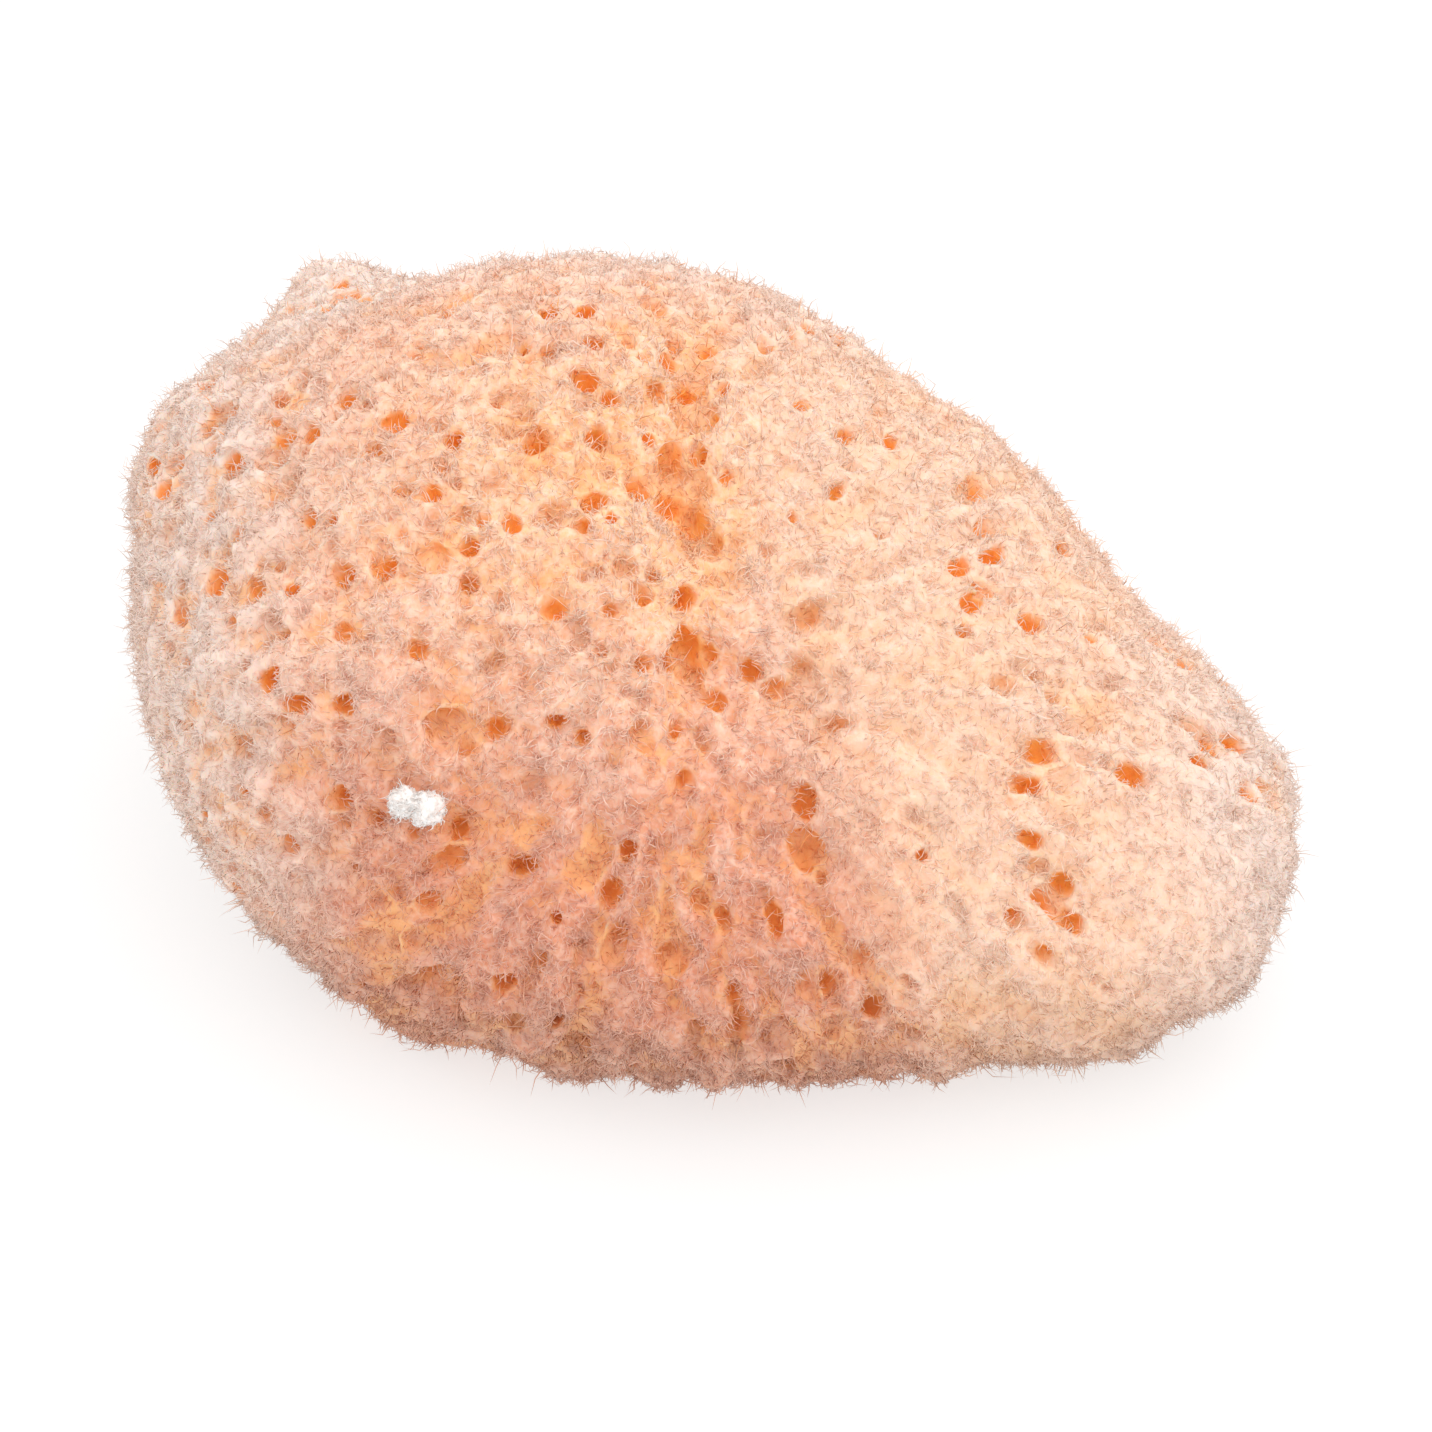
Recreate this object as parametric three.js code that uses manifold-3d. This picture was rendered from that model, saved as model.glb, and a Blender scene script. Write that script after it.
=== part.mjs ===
// A natural bath sponge, as it is sold: one dried skeleton, trimmed flat where it was cut from the rock.
// Millimetres, +Z up, +X along its length, -Y towards whoever looks at its fluted front.
// The form starts as rounded lobes that have grown together. A deep crease parts the two main lobes,
// grooves run down the front between the flutes, and the outflow holes are cut as tapered pits.
import * as THREE from "three";
import { mergeVertices } from "three/addons/utils/BufferGeometryUtils.js";
import Module from "manifold-3d";

// Driving sizes
const LENGTH = 150; // left to right
const DEPTH = 112; // front to back
const HEIGHT = 80; // cut face to the highest point

const CORE = new THREE.Vector3(0, 0, 0.44 * HEIGHT); // every form is laid out as seen from this point
const LOBE_TURN = -8; // degrees, how far the lobes' long axis is turned from +X
const LOBE_BLEND = 5; // how softly two lobes run into each other
const FACETS = 18; // divisions of each edge of the icosahedron the skin starts from

const SWELL_HEIGHT = 1.5; // the low uneven swelling of the skin
const SWELL_SPACING = 15;
const KNOBBLE_HEIGHT = 0.9; // smaller knobbles on top of it
const KNOBBLE_SPACING = 6;

const PIT_SIDES = 6;
const PIT_FLARE = 1.15; // the cutter above the skin, against its width at the skin
const PIT_NARROWING = 0.55; // width near the floor, against the width at the skin
const FAN_CENTRE = new THREE.Vector3(-2, -30, 60); // the flutes and the long pits spread from here
const BACK_PITS = 22; // round pits scattered over the sides and the back

// Each lobe: its centre and its half sizes, as shares of LENGTH, DEPTH and HEIGHT.
const LOBES = [
  { name: "crown", at: [-0.1, 0.11, 0.495], half: [0.315, 0.41, 0.51] },
  { name: "front", at: [0.01, -0.08, 0.31], half: [0.385, 0.35, 0.405] },
  { name: "front left", at: [-0.18, -0.14, 0.22], half: [0.185, 0.19, 0.34] },
  { name: "left", at: [-0.26, 0.06, 0.47], half: [0.2, 0.35, 0.42] },
  { name: "left shoulder", at: [-0.37, 0.205, 0.545], half: [0.12, 0.17, 0.27] },
  { name: "right shoulder", at: [0.135, 0.03, 0.345], half: [0.18, 0.325, 0.45] },
  { name: "right", at: [0.27, -0.145, 0.29], half: [0.195, 0.245, 0.3] },
  { name: "back knob", at: [-0.34, 0.44, 0.61], half: [0.06, 0.08, 0.185] },
];

// Each groove: points along it in millimetres, its half width and its depth.
const GROOVES = [
  {
    name: "crease",
    half: 3,
    deep: 5.5,
    along: [[-3, 34, 74], [-4, 11, 79], [-6, -8, 75], [-2, -18, 69], [-4, -26, 63], [0, -31, 58]],
  },
  {
    name: "crease foot",
    half: 2.6,
    deep: 3,
    along: [[-1, -31, 58], [3, -37, 52], [7, -43, 46], [9, -47, 38]],
  },
  {
    name: "left flute",
    half: 2.6,
    deep: 4,
    along: [[-30, -36, 49], [-31, -41, 41], [-33, -44, 31], [-37, -44, 19], [-38, -42, 8]],
  },
  {
    name: "second flute",
    half: 2.4,
    deep: 2.4,
    along: [[-9, -44, 44], [-13, -48, 35], [-18, -49, 26], [-23, -47, 14]],
  },
  {
    name: "third flute",
    half: 2.4,
    deep: 2.2,
    along: [[-3, -45, 43], [-3, -49, 37], [-5, -51, 29], [-7, -49, 14]],
  },
  {
    name: "fourth flute",
    half: 2.4,
    deep: 2.8,
    along: [[4, -44, 45], [7, -50, 34], [5, -50, 14]],
  },
  {
    name: "fifth flute",
    half: 2.8,
    deep: 3.2,
    along: [[10, -39, 50], [14, -48, 36], [17, -50, 25], [20, -46, 9]],
  },
  {
    name: "right valley",
    half: 3.4,
    deep: 3,
    along: [[16, -10, 67], [12, -22, 62], [9, -28, 59], [12, -37, 51]],
  },
  {
    name: "right flute",
    half: 2.8,
    deep: 2.8,
    along: [[17, -28, 57], [26, -38, 47], [40, -43, 39], [50, -44, 33]],
  },
  {
    name: "lower right flute",
    half: 2.6,
    deep: 2.8,
    along: [[25, -45, 39], [28, -47, 32], [35, -48, 24], [44, -46, 13]],
  },
  {
    name: "right dimple",
    half: 3,
    deep: 2,
    along: [[36, -21, 55], [47, -21, 52], [55, -22, 48]],
  },
  {
    name: "left fold",
    half: 2.8,
    deep: 3.4,
    along: [[-64, -20, 42], [-52, -29, 48], [-40, -33, 51], [-34, -35, 49]],
  },
  {
    name: "upper left valley",
    half: 3.2,
    deep: 2.4,
    along: [[-55, 12, 70], [-52, 0, 70], [-50, -14, 65], [-38, -17, 67]],
  },
  {
    name: "back valley",
    half: 4,
    deep: 4,
    along: [[-4, 40, 70], [-2, 52, 50], [4, 55, 30], [6, 52, 8]],
  },
  {
    name: "back right flute",
    half: 3.4,
    deep: 3,
    along: [[30, 24, 60], [42, 28, 42], [46, 30, 22], [44, 30, 6]],
  },
  {
    name: "back left flute",
    half: 3.4,
    deep: 3,
    along: [[-34, 40, 60], [-40, 46, 40], [-36, 48, 18]],
  },
];

// Wide shallow hollows: where their middle lies, their half width and their depth.
const HOLLOWS = [
  { at: [-16, -8, 76], half: 11, deep: 3 },
  { at: [30, -8, 62], half: 9, deep: 1.5 },
  { at: [-48, -34, 40], half: 8, deep: 1.2 },
];

// Pits on the front and the top: where they open, length, width and depth in millimetres.
const PITS = [
  { at: [-3, -28, 61], long: 10.5, wide: 3.8, deep: 9 },
  { at: [-31, -32, 54], long: 6.6, wide: 3.8, deep: 8 },
  { at: [-29, -23, 65], long: 4, wide: 2.8, deep: 4.5 },
  { at: [-21, 6, 79], long: 2.8, wide: 2.6, deep: 4 },
  { at: [-15, -4, 77], long: 2.8, wide: 2.4, deep: 3.5 },
  { at: [-16, -11, 75], long: 2.8, wide: 2.6, deep: 4 },
  { at: [-24, -3, 77], long: 3, wide: 2.6, deep: 3.5 },
  { at: [-29, 6, 77], long: 5.5, wide: 3.6, deep: 3 },
  { at: [-31, -4, 76], long: 4, wide: 2.2, deep: 2.5 },
  { at: [-5, -6, 76], long: 3, wide: 2.8, deep: 4.5 },
  { at: [-5, -12, 73], long: 4.4, wide: 3.6, deep: 5 },
  { at: [-4, 4, 78], long: 6.5, wide: 4, deep: 3.5 },
  { at: [11, -22, 62], long: 5.5, wide: 3.8, deep: 3.5 },
  { at: [7, -30, 57], long: 4.6, wide: 3.6, deep: 5 },
  { at: [22, -26, 58], long: 3.4, wide: 2.4, deep: 3.5 },
  { at: [41, -21, 54], long: 5, wide: 2, deep: 3 },
  { at: [10, -39, 49], long: 3.2, wide: 2.8, deep: 4.5 },
  { at: [11, -44, 44], long: 3.2, wide: 2.8, deep: 4 },
  { at: [40, -43, 39], long: 4.2, wide: 3.2, deep: 4.5 },
  { at: [17, -50, 26], long: 5.2, wide: 4, deep: 6.5 },
  { at: [-5, -49, 34], long: 4.4, wide: 3.2, deep: 4.5 },
  { at: [-18, -47, 36], long: 5, wide: 2.8, deep: 5.5 },
  { at: [-22, -44, 40], long: 2.6, wide: 2.2, deep: 3.5 },
  { at: [-44, -36, 41], long: 2.8, wide: 2.4, deep: 3.5 },
  { at: [-47, -30, 52], long: 3.4, wide: 7, deep: 3 },
  { at: [-59, -24, 46], long: 3, wide: 4.4, deep: 3.5 },
  { at: [-58, -9, 63], long: 3.2, wide: 2.8, deep: 3.5 },
  { at: [-55, 9, 70], long: 5.5, wide: 2.6, deep: 3 },
  { at: [-48, 14, 72], long: 3.2, wide: 3, deep: 3.5 },
  { at: [-51, -2, 69], long: 4.8, wide: 2.8, deep: 3.5 },
  { at: [-37, -44, 20], long: 8, wide: 4, deep: 5.5 },
  { at: [36, -48, 24], long: 4.2, wide: 2.2, deep: 3.5 },
  { at: [4, -51, 20], long: 6, wide: 2.6, deep: 4.5 },
  { at: [22, 16, 67], long: 2.8, wide: 2.6, deep: 3 },
];

const degrees = THREE.MathUtils.degToRad;

// How far a point lies outside an ellipsoid lobe, about.
function outsideLobe(point, lobe) {
  const from = point.clone();
  from.x -= lobe.at[0] * LENGTH;
  from.y -= lobe.at[1] * DEPTH;
  from.z -= lobe.at[2] * HEIGHT;
  from.applyAxisAngle(new THREE.Vector3(0, 0, 1), -degrees(LOBE_TURN));
  const half = new THREE.Vector3(lobe.half[0] * LENGTH, lobe.half[1] * DEPTH, lobe.half[2] * HEIGHT);
  const share = from.clone().divide(half);
  const slope = share.clone().divide(half).length();
  return (share.length() * (share.length() - 1)) / Math.max(slope, 1e-6);
}

function outsideLobes(point) {
  const sum = LOBES.reduce((total, lobe) => total + Math.exp(-outsideLobe(point, lobe) / LOBE_BLEND), 0);
  return -LOBE_BLEND * Math.log(sum);
}

// Where the joined lobes end along a direction from CORE.
function lobeSkin(direction) {
  let near = 5;
  let far = LENGTH;
  for (let step = 0; step < 30; step += 1) {
    const middle = (near + far) / 2;
    const point = CORE.clone().addScaledVector(direction, middle);
    if (outsideLobes(point) > 0) far = middle;
    else near = middle;
  }
  return CORE.clone().addScaledVector(direction, near);
}

// A fixed number between -1 and 1 for each corner of a cubic grid.
function cornerValue(x, y, z) {
  const wave = Math.sin(x * 127.1 + y * 311.7 + z * 74.7) * 43758.5453;
  return 2 * (wave - Math.floor(wave)) - 1;
}

// Soft uneven swelling: the corner values blended between the corners of the grid.
function swelling(point, spacing) {
  const scaled = point.clone().divideScalar(spacing);
  const corner = scaled.clone().floor();
  const part = scaled.sub(corner);
  const ease = part.clone().multiply(part).multiply(new THREE.Vector3(3, 3, 3).addScaledVector(part, -2));
  let total = 0;
  for (let i = 0; i < 8; i += 1) {
    const [x, y, z] = [i & 1, (i >> 1) & 1, (i >> 2) & 1];
    const share = (x ? ease.x : 1 - ease.x) * (y ? ease.y : 1 - ease.y) * (z ? ease.z : 1 - ease.z);
    total += share * cornerValue(corner.x + x, corner.y + y, corner.z + z);
  }
  return total;
}

// The same spot on the joined lobes, for a spot given roughly.
function ontoLobes(spot) {
  return lobeSkin(new THREE.Vector3(...spot).sub(CORE).normalize());
}

const groovePaths = GROOVES.map((groove) => groove.along.map(ontoLobes));
const hollowMiddles = HOLLOWS.map((hollow) => ontoLobes(hollow.at));

// Depth of a groove under a point: deepest on its line, fading out at both ends.
function grooveDepth(point, groove, stops) {
  const span = stops.length - 1;
  let nearest = Infinity;
  let share = 0;
  for (let i = 0; i < span; i += 1) {
    const piece = new THREE.Line3(stops[i], stops[i + 1]);
    const t = piece.closestPointToPointParameter(point, true);
    const distance = piece.at(t, new THREE.Vector3()).distanceTo(point);
    if (distance < nearest) {
      nearest = distance;
      share = (i + t) / span;
    }
  }
  const ends = THREE.MathUtils.smoothstep(Math.min(share, 1 - share), -0.05, 0.15);
  return groove.deep * ends * Math.exp(-((nearest / groove.half) ** 2));
}

function hollowDepth(point, hollow, middle) {
  return hollow.deep * Math.exp(-((point.distanceTo(middle) / hollow.half) ** 2));
}

// The finished skin along a direction from CORE.
function skinPoint(direction) {
  const point = lobeSkin(direction);
  let rise = SWELL_HEIGHT * swelling(point, SWELL_SPACING);
  rise += KNOBBLE_HEIGHT * swelling(point, KNOBBLE_SPACING);
  GROOVES.forEach((groove, i) => {
    rise -= grooveDepth(point, groove, groovePaths[i]);
  });
  HOLLOWS.forEach((hollow, i) => {
    rise -= hollowDepth(point, hollow, hollowMiddles[i]);
  });
  return point.addScaledVector(direction, rise);
}

function skinGeometry() {
  const ball = new THREE.IcosahedronGeometry(1, FACETS - 1);
  ball.deleteAttribute("normal");
  ball.deleteAttribute("uv");
  const geometry = mergeVertices(ball, 1e-5);
  const places = geometry.attributes.position;
  const direction = new THREE.Vector3();
  for (let i = 0; i < places.count; i += 1) {
    direction.fromBufferAttribute(places, i).normalize();
    const point = skinPoint(direction);
    places.setXYZ(i, point.x, point.y, point.z);
  }
  return geometry;
}

const wasm = await Module();
wasm.setup();

function solid(source) {
  const bare = source.clone();
  bare.deleteAttribute("normal");
  bare.deleteAttribute("uv");
  const geometry = mergeVertices(bare, 1e-5);
  const vertProperties = new Float32Array(geometry.attributes.position.array);
  const triVerts = new Uint32Array(geometry.index.array);
  return new wasm.Manifold(new wasm.Mesh({ numProp: 3, vertProperties, triVerts }));
}

function geometryOf(made) {
  const { vertProperties, triVerts } = made.getMesh();
  const geometry = new THREE.BufferGeometry();
  geometry.setAttribute("position", new THREE.BufferAttribute(new Float32Array(vertProperties), 3));
  geometry.setIndex(new THREE.BufferAttribute(new Uint32Array(triVerts), 1));
  return geometry;
}

// A cutter for one pit. It narrows inwards and ends in a blunt point, and its length lies along the fan.
function pitCutter(pit) {
  const direction = new THREE.Vector3(...pit.at).sub(CORE).normalize();
  const mouth = skinPoint(direction);
  const profile = [
    new THREE.Vector2(0, -pit.deep),
    new THREE.Vector2(PIT_NARROWING / 2, -0.75 * pit.deep),
    new THREE.Vector2(0.5, 0),
    new THREE.Vector2(PIT_FLARE / 2, 2),
    new THREE.Vector2(0, 4),
  ];
  const cutter = new THREE.LatheGeometry(profile, PIT_SIDES);
  cutter.rotateX(Math.PI / 2);
  cutter.scale(pit.long, pit.wide, 1);
  const lengthwise = mouth.clone().sub(FAN_CENTRE);
  if (lengthwise.length() < 4) lengthwise.set(0.2, -1, -1);
  lengthwise.addScaledVector(direction, -lengthwise.dot(direction)).normalize();
  const across = direction.clone().cross(lengthwise);
  const turn = new THREE.Matrix4().makeBasis(lengthwise, across, direction);
  turn.setPosition(mouth);
  cutter.applyMatrix4(turn);
  return solid(cutter);
}

// Pits over the sides and the back, spread by the golden angle.
function backPits() {
  const pits = [];
  const golden = Math.PI * (3 - Math.sqrt(5));
  for (let i = 0; pits.length < BACK_PITS; i += 1) {
    const up = -0.35 + (1.15 * (i + 0.5)) / 60;
    const bearing = i * golden;
    const ring = Math.sqrt(1 - up * up);
    const direction = new THREE.Vector3(ring * Math.cos(bearing), ring * Math.sin(bearing), up);
    if (direction.y < -0.15) continue;
    if (i > 60) break;
    const at = CORE.clone().addScaledVector(direction, 50).toArray();
    const size = 3.4 + 1.4 * cornerValue(i, 3, 7);
    pits.push({ at, long: 1.25 * size, wide: size, deep: 1.4 * size });
  }
  return pits;
}

const belowCut = new THREE.BoxGeometry(3 * LENGTH, 3 * DEPTH, HEIGHT);
belowCut.translate(0, 0, -HEIGHT / 2);

let body = solid(skinGeometry());
for (const pit of [...PITS, ...backPits()]) body = body.subtract(pitCutter(pit));
body = body.subtract(solid(belowCut));

// Fit to the driving sizes, with the middle of the cut face's outline box at the origin.
const geometry = geometryOf(body);
geometry.computeBoundingBox();
const box = geometry.boundingBox;
const middle = box.getCenter(new THREE.Vector3());
const size = box.getSize(new THREE.Vector3());
geometry.translate(-middle.x, -middle.y, -box.min.z);
geometry.scale(LENGTH / size.x, DEPTH / size.y, HEIGHT / size.z);

const material = new THREE.MeshStandardMaterial({ color: 0xf2b999, roughness: 0.95, metalness: 0 });
const sponge = new THREE.Mesh(geometry, material);
sponge.name = "sponge";

const part = new THREE.Group();
part.add(sponge);
export default part;
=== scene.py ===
# %% [markdown]
# A dried bath sponge is a net of springy fibres, grown as one rounded block and trimmed flat where it was
# cut from the rock. From a step away you see its lobes, a crease and a fan of flutes. Closer in, the skin
# is a felt of fine pale strands over a warm peach body, and outflow holes glow orange because light that
# falls into them is tinted again at every bounce.
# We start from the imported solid, which has the right size and main forms, and make the skin in its place.

# %% Load the frame
import math
import bmesh
import bpy
import numpy as np
from mathutils import Matrix, Vector
from mathutils.bvhtree import BVHTree
from mathutils.kdtree import KDTree


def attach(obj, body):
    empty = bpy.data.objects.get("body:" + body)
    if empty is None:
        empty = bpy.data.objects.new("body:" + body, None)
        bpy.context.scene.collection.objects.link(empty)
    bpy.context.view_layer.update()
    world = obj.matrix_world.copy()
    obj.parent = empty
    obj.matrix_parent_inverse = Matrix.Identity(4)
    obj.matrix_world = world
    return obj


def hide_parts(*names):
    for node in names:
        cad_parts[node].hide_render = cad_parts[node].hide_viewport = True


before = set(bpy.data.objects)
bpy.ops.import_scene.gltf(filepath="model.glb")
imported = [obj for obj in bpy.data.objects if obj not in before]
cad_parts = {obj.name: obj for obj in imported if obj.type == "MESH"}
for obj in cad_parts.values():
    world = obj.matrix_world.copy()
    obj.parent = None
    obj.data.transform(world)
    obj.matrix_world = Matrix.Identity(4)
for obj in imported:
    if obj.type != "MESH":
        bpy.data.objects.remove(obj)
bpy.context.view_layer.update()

MM = 0.001

# %% [markdown]
# The picture was taken with a long lens that looks down on the sponge. A long lens keeps the far side nearly
# as large as the near side. We aim at a point inside the sponge and step back along the viewing direction,
# so that the width of the frame at that point is a value we can read off.

# %% Camera
LOOK_AT = Vector((1.5, -4.3, 27.5)) * MM
LOOK_DOWN = math.radians(41.5)
FRAME_WIDTH = 184 * MM
LENS = 90
SENSOR = 36

camera_data = bpy.data.cameras.new("camera")
camera_data.lens = LENS
camera_data.sensor_width = SENSOR
camera = bpy.data.objects.new("camera", camera_data)
bpy.context.scene.collection.objects.link(camera)
backwards = Vector((0, -math.cos(LOOK_DOWN), math.sin(LOOK_DOWN)))
camera.location = LOOK_AT + backwards * (FRAME_WIDTH * LENS / SENSOR)
camera.rotation_euler = (math.pi / 2 - LOOK_DOWN, 0, 0)
bpy.context.scene.camera = camera
print("camera stands", round((camera.location - LOOK_AT).length / MM), "mm from the point it looks at")

# %% [markdown]
# The sponge lies on a white light table under one broad window in the ceiling, and the room's white walls
# fill in from all sides. A lamp could stand for each wall, but a pale world does their work at once. The
# table glows a little, as milky acrylic lit from below does, so the shadow stays weak. Its own colour is a
# dim grey, or else it would pick up a tint from the sponge. Colours are shown with no film look.

# %% Floor and light
FLOOR_SIZE = 6
FLOOR_GAP = 0.1 * MM  # keeps the cut face and the floor from lying in one plane
TABLE_GREY = (0.38, 0.38, 0.38, 1)
TABLE_GLOW = 0.62
WALL_GLOW = 0.95
WINDOW_PLACE = Vector((0.2, -0.25, 0.95))
WINDOW_SIZE = 1.5
WINDOW_POWER = 6.2
WINDOW_TINT = (1, 0.985, 0.965)

bpy.context.scene.view_settings.view_transform = "Standard"
bpy.context.scene.view_settings.look = "None"


def make_floor():
    mesh = bmesh.new()
    bmesh.ops.create_grid(mesh, x_segments=1, y_segments=1, size=FLOOR_SIZE / 2)
    data = bpy.data.meshes.new("floor")
    mesh.to_mesh(data)
    mesh.free()
    material = bpy.data.materials.new("light_table")
    material.use_nodes = True
    shader = material.node_tree.nodes["Principled BSDF"]
    shader.inputs["Base Color"].default_value = TABLE_GREY
    shader.inputs["Emission Color"].default_value = (1, 1, 1, 1)
    shader.inputs["Emission Strength"].default_value = TABLE_GLOW
    shader.inputs["Roughness"].default_value = 0.9
    shader.inputs["Specular IOR Level"].default_value = 0.1
    data.materials.append(material)
    floor = bpy.data.objects.new("floor", data)
    floor.location.z = -FLOOR_GAP
    bpy.context.scene.collection.objects.link(floor)


def make_light():
    world = bpy.data.worlds.new("room")
    world.use_nodes = True
    walls = world.node_tree.nodes["Background"]
    walls.inputs["Color"].default_value = (1, 1, 1, 1)
    walls.inputs["Strength"].default_value = WALL_GLOW
    bpy.context.scene.world = world
    data = bpy.data.lights.new("window", "AREA")
    data.shape = "SQUARE"
    data.size = WINDOW_SIZE
    data.energy = WINDOW_POWER
    data.color = WINDOW_TINT
    window = bpy.data.objects.new("window", data)
    window.location = WINDOW_PLACE
    window.rotation_euler = (-WINDOW_PLACE).to_track_quat("-Z", "Y").to_euler()
    bpy.context.scene.collection.objects.link(window)


make_floor()
make_light()
print("floor and", len(bpy.data.lights), "light made")

# %% [markdown]
# The solid's facets are three millimetres wide, far too coarse for a felt of fine fibres. Subdividing
# rounds them off, and a voxel remesh then gives an even net of small quads that also follows the walls of
# the pits. A sculptor would now carve the pores with brushes. In code we move the points of that net.

# %% Skin from the solid
NODE = "sponge"
VOXEL = 0.5 * MM
ROUNDING = 2  # subdivision levels before the remesh


def evaluated_copy(piece):
    graph = bpy.context.evaluated_depsgraph_get()
    return bpy.data.meshes.new_from_object(piece.evaluated_get(graph))


def renew_net(piece):
    """Put an even net of small quads in place of the mesh, which also heals its folds."""
    remesh = piece.modifiers.new("remesh", "REMESH")
    remesh.mode = "VOXEL"
    remesh.voxel_size = VOXEL
    even = evaluated_copy(piece)
    piece.modifiers.clear()
    piece.data = even


def make_skin():
    mesh = bmesh.new()
    mesh.from_mesh(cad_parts[NODE].data)
    bmesh.ops.remove_doubles(mesh, verts=mesh.verts, dist=0.001 * MM)
    data = bpy.data.meshes.new("skin")
    mesh.to_mesh(data)
    mesh.free()
    skin = bpy.data.objects.new("skin", data)
    bpy.context.scene.collection.objects.link(skin)
    rounding = skin.modifiers.new("rounding", "SUBSURF")
    rounding.levels = rounding.render_levels = ROUNDING
    renew_net(skin)
    return skin


skin = make_skin()
print("skin has", len(skin.data.vertices), "points")

# %% [markdown]
# Moving a quarter of a million points one by one in a loop is slow. Numpy moves them all in one line, so
# we copy the points out of the mesh, work in millimetres, and write them back.
# Two tools come back again and again. The mean over a point's neighbours irons a surface. A renewed net
# spreads the points evenly again after they have moved, and hands each new point the values of the old
# point nearest to it.

# %% Tools for points
def read_points(mesh):
    places = np.empty(3 * len(mesh.vertices), np.float32)
    mesh.vertices.foreach_get("co", places)
    return places.reshape(-1, 3).astype(float) / MM


def write_points(mesh, points):
    mesh.vertices.foreach_set("co", (points * MM).astype(np.float32).ravel())
    mesh.update()


def read_normals(mesh):
    normals = np.empty(3 * len(mesh.vertices), np.float32)
    mesh.vertex_normals.foreach_get("vector", normals)
    return normals.reshape(-1, 3).astype(float)


def read_edges(mesh):
    ends = np.empty(2 * len(mesh.edges), np.int32)
    mesh.edges.foreach_get("vertices", ends)
    return ends.reshape(-1, 2)


def give_attribute(mesh, name, values):
    attribute = mesh.attributes.new(name, "FLOAT", "POINT")
    attribute.data.foreach_set("value", values.astype(np.float32))


def read_attribute(mesh, name):
    values = np.empty(len(mesh.vertices), np.float32)
    mesh.attributes[name].data.foreach_get("value", values)
    return values.astype(float)


def neighbour_mean(values, edges):
    count = len(values)
    degree = np.bincount(edges.ravel(), minlength=count)
    one, other = edges[:, 0], edges[:, 1]
    columns = values.reshape(count, -1).T
    total = [np.bincount(one, column[other], count) + np.bincount(other, column[one], count)
             for column in columns]
    return (np.array(total) / np.maximum(degree, 1)).T.reshape(values.shape)


def make_tree(points):
    tree = KDTree(len(points))
    for index, place in enumerate(points):
        tree.insert(place, index)
    tree.balance()
    return tree


def renew_points(piece, points, fields):
    """Renew the net of a piece whose points have moved, and hand its fields to the new points."""
    write_points(piece.data, points)
    renew_net(piece)
    renewed = read_points(piece.data)
    renewed[:, 2] = np.maximum(renewed[:, 2], 0)
    write_points(piece.data, renewed)
    old = make_tree(points)
    nearest = [old.find(place)[1] for place in renewed]
    handed = [field[nearest] for field in fields]
    return [renewed, read_normals(piece.data), read_edges(piece.data)] + handed


def unit(vectors):
    return vectors / np.maximum(np.linalg.norm(vectors, axis=-1, keepdims=True), 1e-9)


def fade(values, start, end):
    share = np.clip((values - start) / (end - start), 0, 1)
    return share * share * (3 - 2 * share)


points = read_points(skin.data)
normals = read_normals(skin.data)
edges = read_edges(skin.data)
print("skin spans", points.min(0).round(1), "to", points.max(0).round(1), "mm")

# %% [markdown]
# Natural skins are made from soft noise, smooth random waves of one size. Folding the waves at zero turns
# them into crumbs, rounded lumps with a narrow crease between each two, which is how a sponge's skin looks
# where its fibre bundles end. Bending the noise by other noise hides its regular grid.

# %% Noise and crumbs
SEED = 20
GRADIENTS = np.array([(x, y, z) for x in (-1, 0, 1) for y in (-1, 0, 1) for z in (-1, 0, 1)
                      if abs(x) + abs(y) + abs(z) == 2], float)


def soft_noise(points, seed):
    """Smooth random waves between about -1 and 1, one wave for each unit."""
    corner = np.floor(points).astype(np.int64)
    part = points - corner
    ease = part ** 3 * (part * (part * 6 - 15) + 10)
    total = np.zeros(len(points))
    for step in np.ndindex(2, 2, 2):
        x, y, z = (corner + step).T
        mixed = (x * 374761393 + y * 668265263 + z * 1440662683 + (seed + SEED) * 974711) & 0xFFFFFFFF
        mixed = ((mixed ^ (mixed >> 13)) * 1274126177) & 0xFFFFFFFF
        gradient = GRADIENTS[(mixed ^ (mixed >> 16)) % 12]
        share = np.prod(np.where(step, ease, 1 - ease), axis=1)
        total += share * np.sum(gradient * (part - step), axis=1)
    return total


def crumbs(places, seed):
    """Rounded lumps one unit apart: about 1 on a lump, 0 in the crease between two."""
    bend = np.stack([soft_noise(places * 0.8, seed + step) for step in (50, 51, 52)], axis=1)
    return np.minimum(2.4 * np.abs(soft_noise(places + 0.6 * bend, seed)), 1) ** 0.8


print("crumbs average", crumbs(points / 3.4, 1).mean().round(2))

# %% [markdown]
# The flutes and the long pits spread like a fan from one spot under the crease. If we describe each point by
# its direction and its distance from that spot, noise that changes fast with direction and slowly with
# distance gives streaks that run outwards and widen as they go, just as the growth lines do.
# The streaks belong to the front. Over the top and the back the same noise is only faint.

# %% The fan
FAN_CENTRE = np.array([-1.5, -33, 59])


def fan_place(points, fineness, length):
    away = points - FAN_CENTRE
    distance = np.linalg.norm(away, axis=1, keepdims=True)
    wander = np.stack([soft_noise(points / 7, seed) for seed in (31, 32, 33)], axis=1)
    return unit(away + 3 * wander) * fineness + np.array([[0, 0, 1]]) * distance / length


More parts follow.
